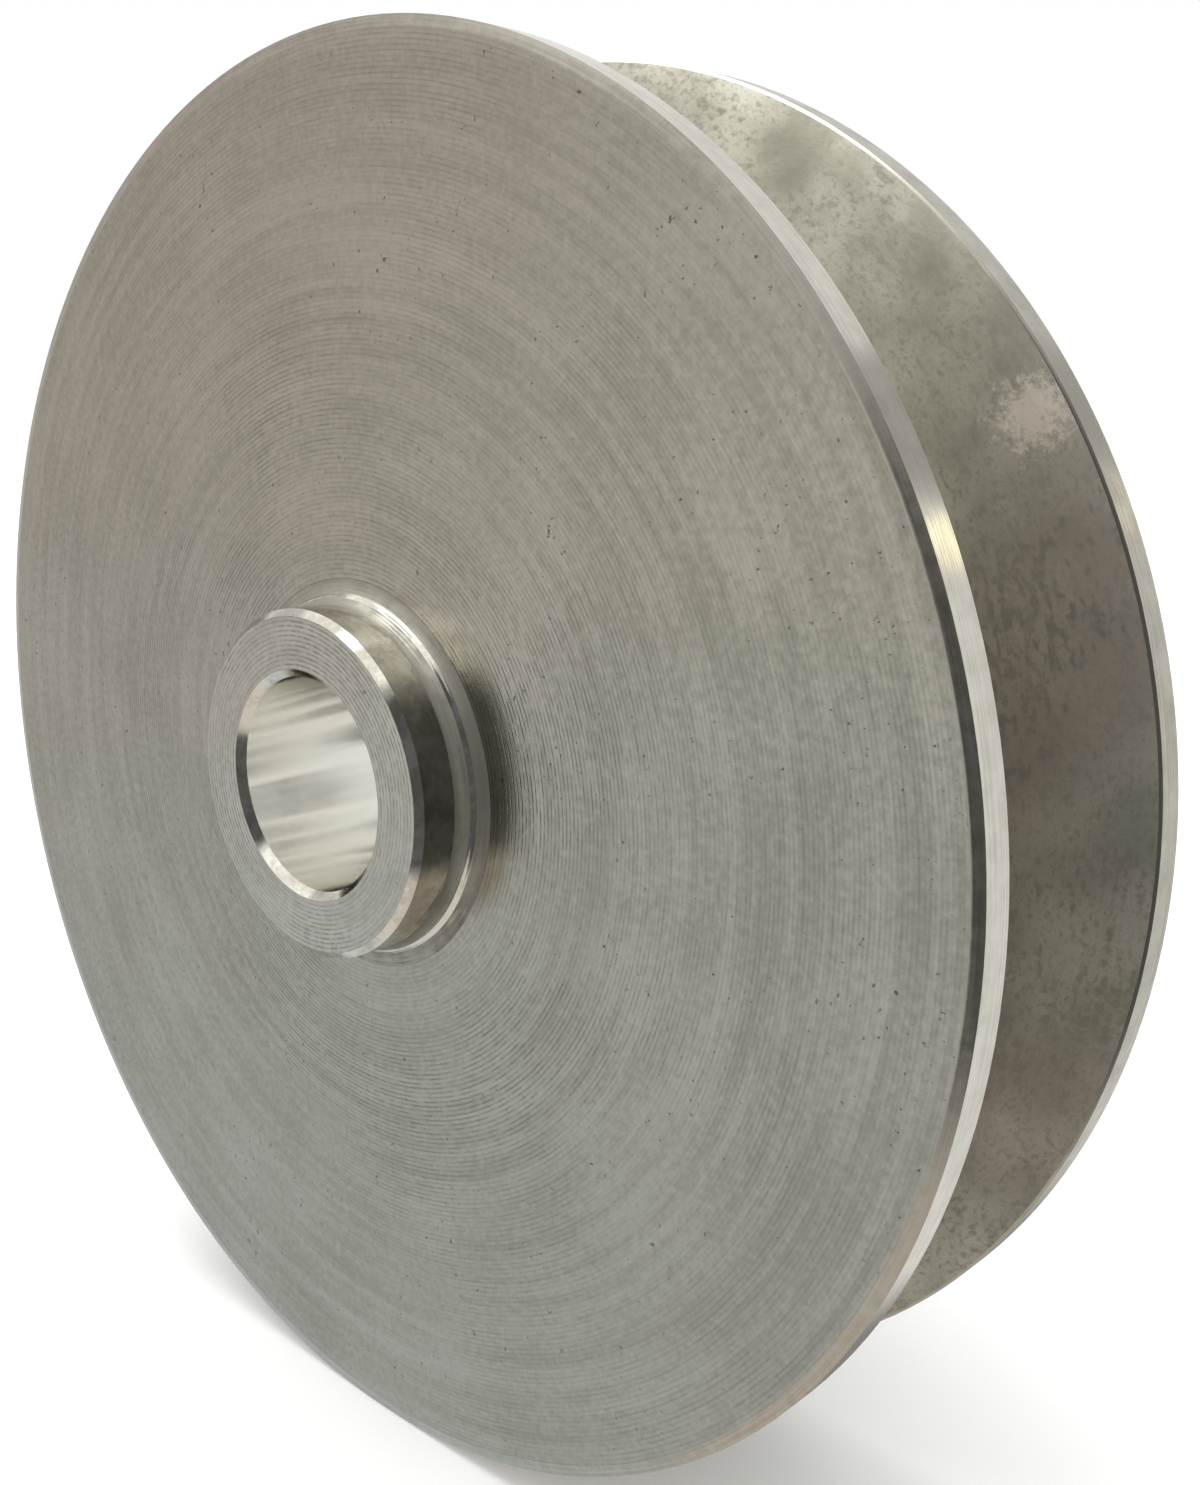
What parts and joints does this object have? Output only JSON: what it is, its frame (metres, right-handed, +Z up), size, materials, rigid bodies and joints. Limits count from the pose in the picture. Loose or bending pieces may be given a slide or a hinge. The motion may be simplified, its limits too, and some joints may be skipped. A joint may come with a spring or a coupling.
{
  "type": "v belt pulley",
  "caption": "Turned aluminium V belt pulley with a narrow-land rim, a belt groove, a bored hub with a short nose, and set screws in the rear boss.",
  "frame": {"origin": "on the axis of the shaft bore, in the plane that halves the belt groove", "axes": "+Y along the bore axis from the nose at the front to the boss at the back, +Z up, +X to the right seen from the front"},
  "size_m": [0.073, 0.0294, 0.073],
  "materials": {
    "hub": "fine turned, bright nose and bore",
    "front_flange": "satin, faced on a lathe with fine concentric feed marks",
    "rear_flange": "satin, slightly mottled groove wall, turned rim",
    "screws": "black oxide"
  },
  "bodies": {
    "pulley": {"hub": "hub", "front_flange": "front_flange", "rear_flange": "rear_flange"},
    "set_screw_1": {"grub_screw_1": "screws"},
    "set_screw_2": {"grub_screw_2": "screws"}
  },
  "joints": [
    {"name": "set_screw_1_travel", "type": "slide", "parent": "pulley", "child": "set_screw_1", "axis": [0, 0, 1], "range_m": [-0.0005, 0.003]},
    {"name": "set_screw_2_travel", "type": "slide", "parent": "pulley", "child": "set_screw_2", "axis": [1, 0, 0], "range_m": [-0.0005, 0.003]}
  ]
}
